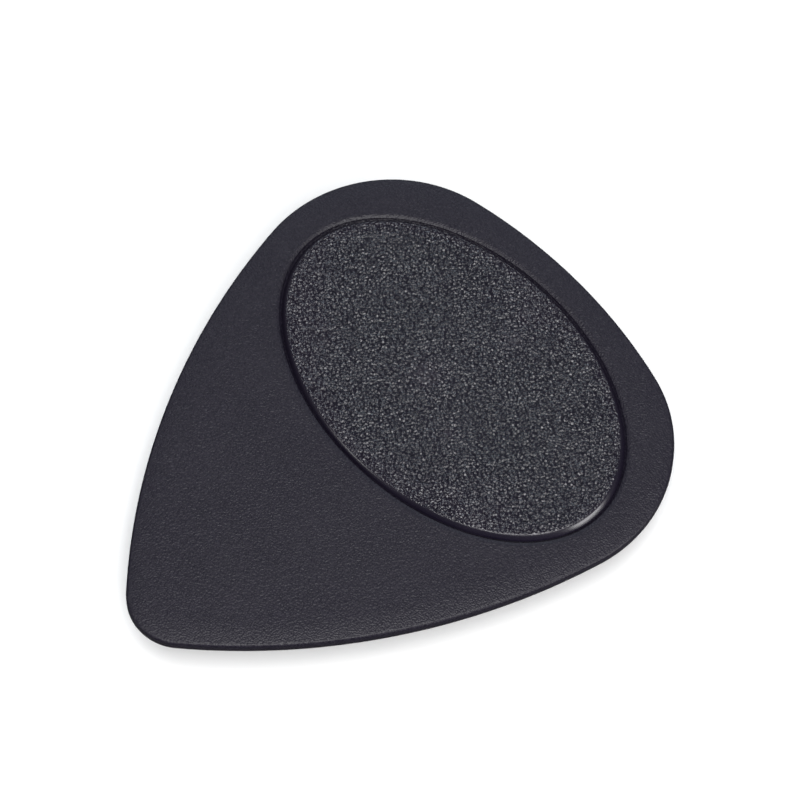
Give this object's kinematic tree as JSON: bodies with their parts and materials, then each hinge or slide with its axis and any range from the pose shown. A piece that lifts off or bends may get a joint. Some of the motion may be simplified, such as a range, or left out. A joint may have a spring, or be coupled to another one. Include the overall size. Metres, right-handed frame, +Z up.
{
  "type": "guitar pick holder",
  "caption": "Stick-on holder shaped like a plectrum: pressing the oval thumb pad rocks a sprung cover on a cross pin and lifts its tip off the tray to grip picks.",
  "frame": {"origin": "on the mounting face (underside of the release liner), below the middle of the cover's length", "axes": "+Y from the pick shape's tip to its wide end, +Z up, away from the instrument, +X across"},
  "size_m": [0.0396, 0.046, 0.0063],
  "materials": {
    "cover_plastic": "fine-grained satin, charcoal",
    "pad_plastic": "coarse moulded leather grain, charcoal",
    "tray_plastic": "plain moulded, black",
    "pin_steel": "ground",
    "spring_steel": "drawn wire",
    "adhesive_foam": "closed-cell foam tape",
    "liner_paper": "glazed release paper"
  },
  "bodies": {
    "base": {"base_tray": "tray_plastic", "pivot_pin": "pin_steel", "return_spring": "spring_steel", "adhesive_pad": "adhesive_foam", "release_liner": "liner_paper"},
    "cover": {"cover": "cover_plastic", "thumb_pad": "pad_plastic"}
  },
  "joints": [
    {"name": "cover_tilt", "type": "hinge", "parent": "base", "child": "cover", "pos_m": [0, -0.0025, 0.0035], "axis": [-1, 0, 0], "range_deg": [0, 7], "stiffness_Nm_per_rad": 0.19, "springref_deg": -11.46, "deforming": ["return_spring"]}
  ]
}
